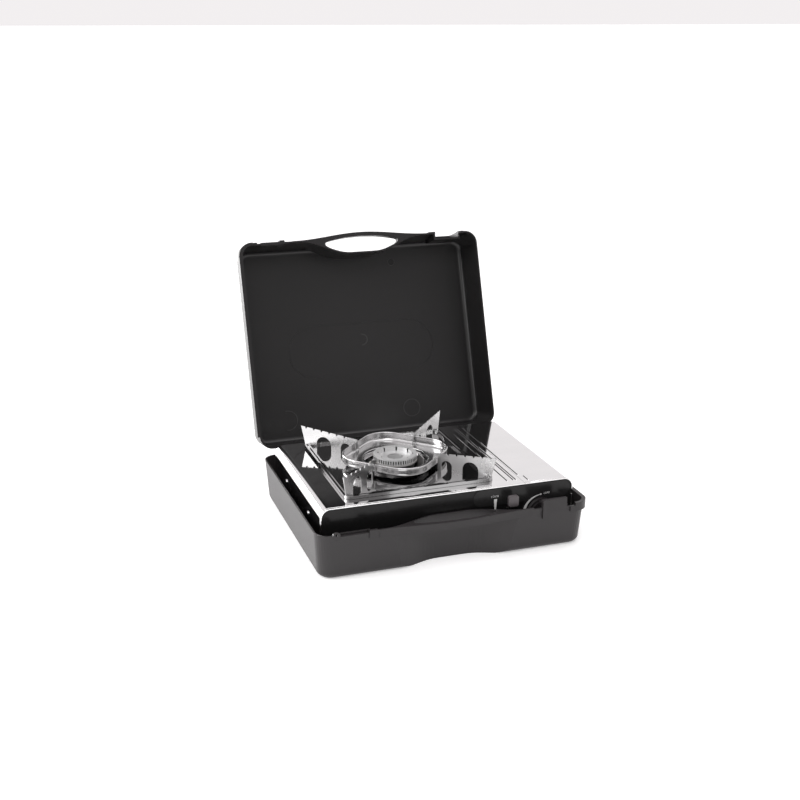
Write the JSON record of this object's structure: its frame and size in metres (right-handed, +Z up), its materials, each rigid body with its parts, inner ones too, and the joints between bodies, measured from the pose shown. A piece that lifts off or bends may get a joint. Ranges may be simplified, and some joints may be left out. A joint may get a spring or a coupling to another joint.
{
  "type": "portable butane stove in a carry case",
  "caption": "Butane cassette stove with a square pan support, round burner and covered cartridge bay, standing in the base of an open hard carry case.",
  "frame": {"origin": "centre of the carry case's underside", "axes": "+X to the user's right along the front of the stove, +Y to the case hinge at the back, +Z up"},
  "size_m": [0.386, 0.4799, 0.3694],
  "materials": {
    "case_plastic": "finely textured black moulding",
    "polished_steel": "mirror polished",
    "sheet_steel": "zinc plated sheet",
    "gloss_black": "gloss black",
    "lever_grey": "satin grey",
    "rubber": "matte",
    "fixings": "bright plated",
    "cast_alloy": "as cast",
    "brass": "turned",
    "white_parts": "off-white",
    "dark_parts": "black",
    "wire_red": "insulation"
  },
  "bodies": {
    "case base": {"case_base": "case_plastic", "case_hinge_pins": "fixings"},
    "case lid": {"case_lid": "case_plastic"},
    "pan support": {"support_frame": "polished_steel", "windshield_bowl": "polished_steel", "pan_fin_front_left": "polished_steel", "pan_fin_front_right": "polished_steel", "pan_fin_rear_left": "polished_steel", "pan_fin_rear_right": "polished_steel"},
    "cartridge lid": {"cartridge_lid": "polished_steel"},
    "knob": {"control_knob": "gloss_black", "valve_stem": "fixings", "ignition_cam": "white_parts"},
    "igniter plunger": {"piezo_plunger": "white_parts"},
    "lock lever": {"lock_lever": "sheet_steel", "lever_cap": "lever_grey"},
    "pusher": {"cartridge_pusher": "sheet_steel"},
    "stove": {"top_shell": "polished_steel", "right_side_panel": "sheet_steel", "front_panel": "gloss_black", "back_panel": "sheet_steel", "bottom_pan": "sheet_steel", "control_bezel": "gloss_black", "rubber_feet": "rubber", "side_screws": "fixings", "bottom_screws": "fixings", "partition_wall": "sheet_steel", "cartridge_cradle": "sheet_steel", "heat_plate": "cast_alloy", "cartridge_lid_pin": "fixings", "lid_magnet": "dark_parts", "burner_cup": "cast_alloy", "burner_bracket": "sheet_steel", "burner_head": "cast_alloy", "burner_cap": "cast_alloy", "mixing_tube": "cast_alloy", "air_shutter": "cast_alloy", "jet_holder": "brass", "gas_jet": "brass", "gas_pipe": "fixings", "pipe_nuts": "brass", "electrode": "fixings", "electrode_ceramic": "white_parts", "electrode_bracket": "sheet_steel", "ignition_wire": "wire_red", "regulator_body": "cast_alloy", "regulator_cover": "cast_alloy", "regulator_screws": "fixings", "cartridge_receiver": "brass", "receiver_seal": "rubber", "piezo_igniter": "dark_parts", "lever_bracket": "sheet_steel", "lever_pivot_pin": "fixings", "lever_spring": "fixings", "pusher_guide": "dark_parts"}
  },
  "joints": [
    {"name": "case_lid_hinge", "type": "hinge", "parent": "case base", "child": "case lid", "pos_m": [0, 0.1608, 0.063], "axis": [-1, 0, 0], "range_deg": [-108.6, 0]},
    {"name": "stove_lift", "type": "slide", "parent": "case base", "child": "stove", "axis": [0, 0, 1], "range_m": [0, 0.09]},
    {"name": "pan_support_lift", "type": "slide", "parent": "stove", "child": "pan support", "axis": [0, 0, 1], "range_m": [0, 0.04]},
    {"name": "cartridge_lid_hinge", "type": "hinge", "parent": "stove", "child": "cartridge lid", "pos_m": [0.1745, 0, 0.069], "axis": [0, 1, 0], "range_deg": [0, 95]},
    {"name": "knob_turn", "type": "hinge", "parent": "stove", "child": "knob", "pos_m": [0.13, -0.1292, 0.0465], "axis": [0, -1, 0], "range_deg": [0, 125]},
    {"name": "igniter_plunger_slide", "type": "slide", "parent": "stove", "child": "igniter plunger", "axis": [0, 0, -1], "range_m": [0, 0.0036]},
    {"name": "lock_lever_press", "type": "hinge", "parent": "stove", "child": "lock lever", "pos_m": [0.085, -0.1075, 0.0638], "axis": [1, 0, 0], "range_deg": [0, 25], "stiffness_Nm_per_rad": 0.2, "springref_deg": -17.19},
    {"name": "pusher_slide", "type": "slide", "parent": "stove", "child": "pusher", "axis": [0, -1, 0], "range_m": [0, 0.00866]}
  ],
  "couplings": [
    {"joint": "igniter_plunger_slide", "follows": "knob_turn", "m_per_rad": 0.0016043},
    {"joint": "lock_lever_press", "follows": "pusher_slide", "rad_per_m": 50.398}
  ]
}
